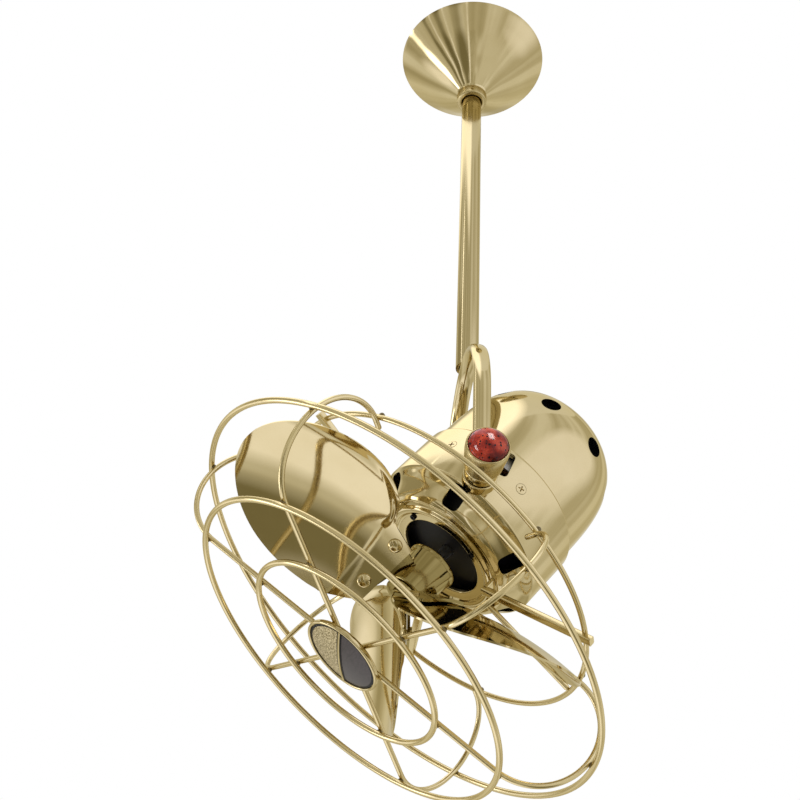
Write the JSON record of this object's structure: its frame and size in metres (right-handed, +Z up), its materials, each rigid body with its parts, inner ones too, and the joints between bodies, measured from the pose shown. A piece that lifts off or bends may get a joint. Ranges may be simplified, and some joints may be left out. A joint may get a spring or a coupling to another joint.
{
  "type": "directional ceiling fan",
  "caption": "Polished brass ceiling fan: bell canopy, downrod and arched yoke carry a tilting caged head with pitched paddle blades and stone-capped tilt knobs.",
  "frame": {"origin": "centre of the ceiling face of the mounting plate", "axes": "+Z up out of the ceiling face, -Y towards the near tilt knob, the tilt axis along Y, the head leaning towards -X"},
  "size_m": [0.3516, 0.405, 0.8641],
  "materials": {
    "polished_brass": "mirror polished and lacquered",
    "steel": "machined or rolled",
    "black_paint": "satin black",
    "copper_wire": "varnished copper winding",
    "red_stone": "polished cabochon with black speckles",
    "dark_enamel": "glossy dark enamel",
    "fibre": "matt fibre"
  },
  "bodies": {
    "stand": {"ceiling_plate": "steel", "plate_screw_left": "steel", "plate_screw_right": "steel", "downrod": "polished_brass", "yoke": "polished_brass", "pivot_washer_near": "fibre", "pivot_washer_far": "fibre"},
    "canopy": {"canopy": "polished_brass", "canopy_collar": "polished_brass", "collar_screw": "steel"},
    "head": {"rear_dome": "polished_brass", "motor_band": "polished_brass", "band_screw_1": "polished_brass", "band_screw_2": "polished_brass", "band_screw_3": "polished_brass", "band_screw_4": "polished_brass", "front_plate": "polished_brass", "front_plate_screw_1": "black_paint", "front_plate_screw_2": "black_paint", "front_plate_screw_3": "black_paint", "front_shield": "black_paint", "rear_shield": "steel", "front_bearing": "steel", "rear_bearing": "steel", "stator_core": "steel", "end_winding_front": "copper_wire", "end_winding_rear": "copper_wire", "run_capacitor": "black_paint", "cage_ring_small": "polished_brass", "cage_ring_middle": "polished_brass", "cage_ring_wide": "polished_brass", "cage_ring_back": "polished_brass", "cage_rib_1": "polished_brass", "cage_rib_2": "polished_brass", "cage_rib_3": "polished_brass", "cage_rib_4": "polished_brass", "cage_rib_5": "polished_brass", "cage_rib_6": "polished_brass", "cage_support_1": "polished_brass", "cage_support_2": "polished_brass", "cage_support_3": "polished_brass", "cage_stay": "polished_brass", "badge_cup": "polished_brass", "badge_face": "dark_enamel"},
    "rotor": {"motor_shaft": "steel", "rotor_core": "steel", "hub": "polished_brass", "hub_clamp": "polished_brass", "hub_nut": "polished_brass", "blade_1": "polished_brass", "blade_2": "polished_brass", "blade_3": "polished_brass", "blade_arm_1": "polished_brass", "blade_arm_2": "polished_brass", "blade_arm_3": "polished_brass"},
    "knob_near": {"knob_grip_near": "polished_brass", "knob_stone_near": "red_stone"},
    "knob_far": {"knob_grip_far": "polished_brass", "knob_stone_far": "red_stone"}
  },
  "joints": [
    {"name": "canopy_slide", "type": "slide", "parent": "stand", "child": "canopy", "axis": [0, 0, -1], "range_m": [0, 0.38]},
    {"name": "head_tilt", "type": "hinge", "parent": "stand", "child": "head", "pos_m": [0, 0, -0.645], "axis": [0, 1, 0], "range_deg": [-127, 53]},
    {"name": "rotor_spin", "type": "hinge", "parent": "head", "child": "rotor", "pos_m": [0, 0, -0.645], "axis": [-0.6018, 0, -0.7986], "continuous": true},
    {"name": "knob_near_turn", "type": "hinge", "parent": "head", "child": "knob_near", "pos_m": [0, -0.1, -0.645], "axis": [0, -1, 0], "range_deg": [0, 270]},
    {"name": "knob_far_turn", "type": "hinge", "parent": "head", "child": "knob_far", "pos_m": [0, 0.1, -0.645], "axis": [0, 1, 0], "range_deg": [0, 270]}
  ]
}
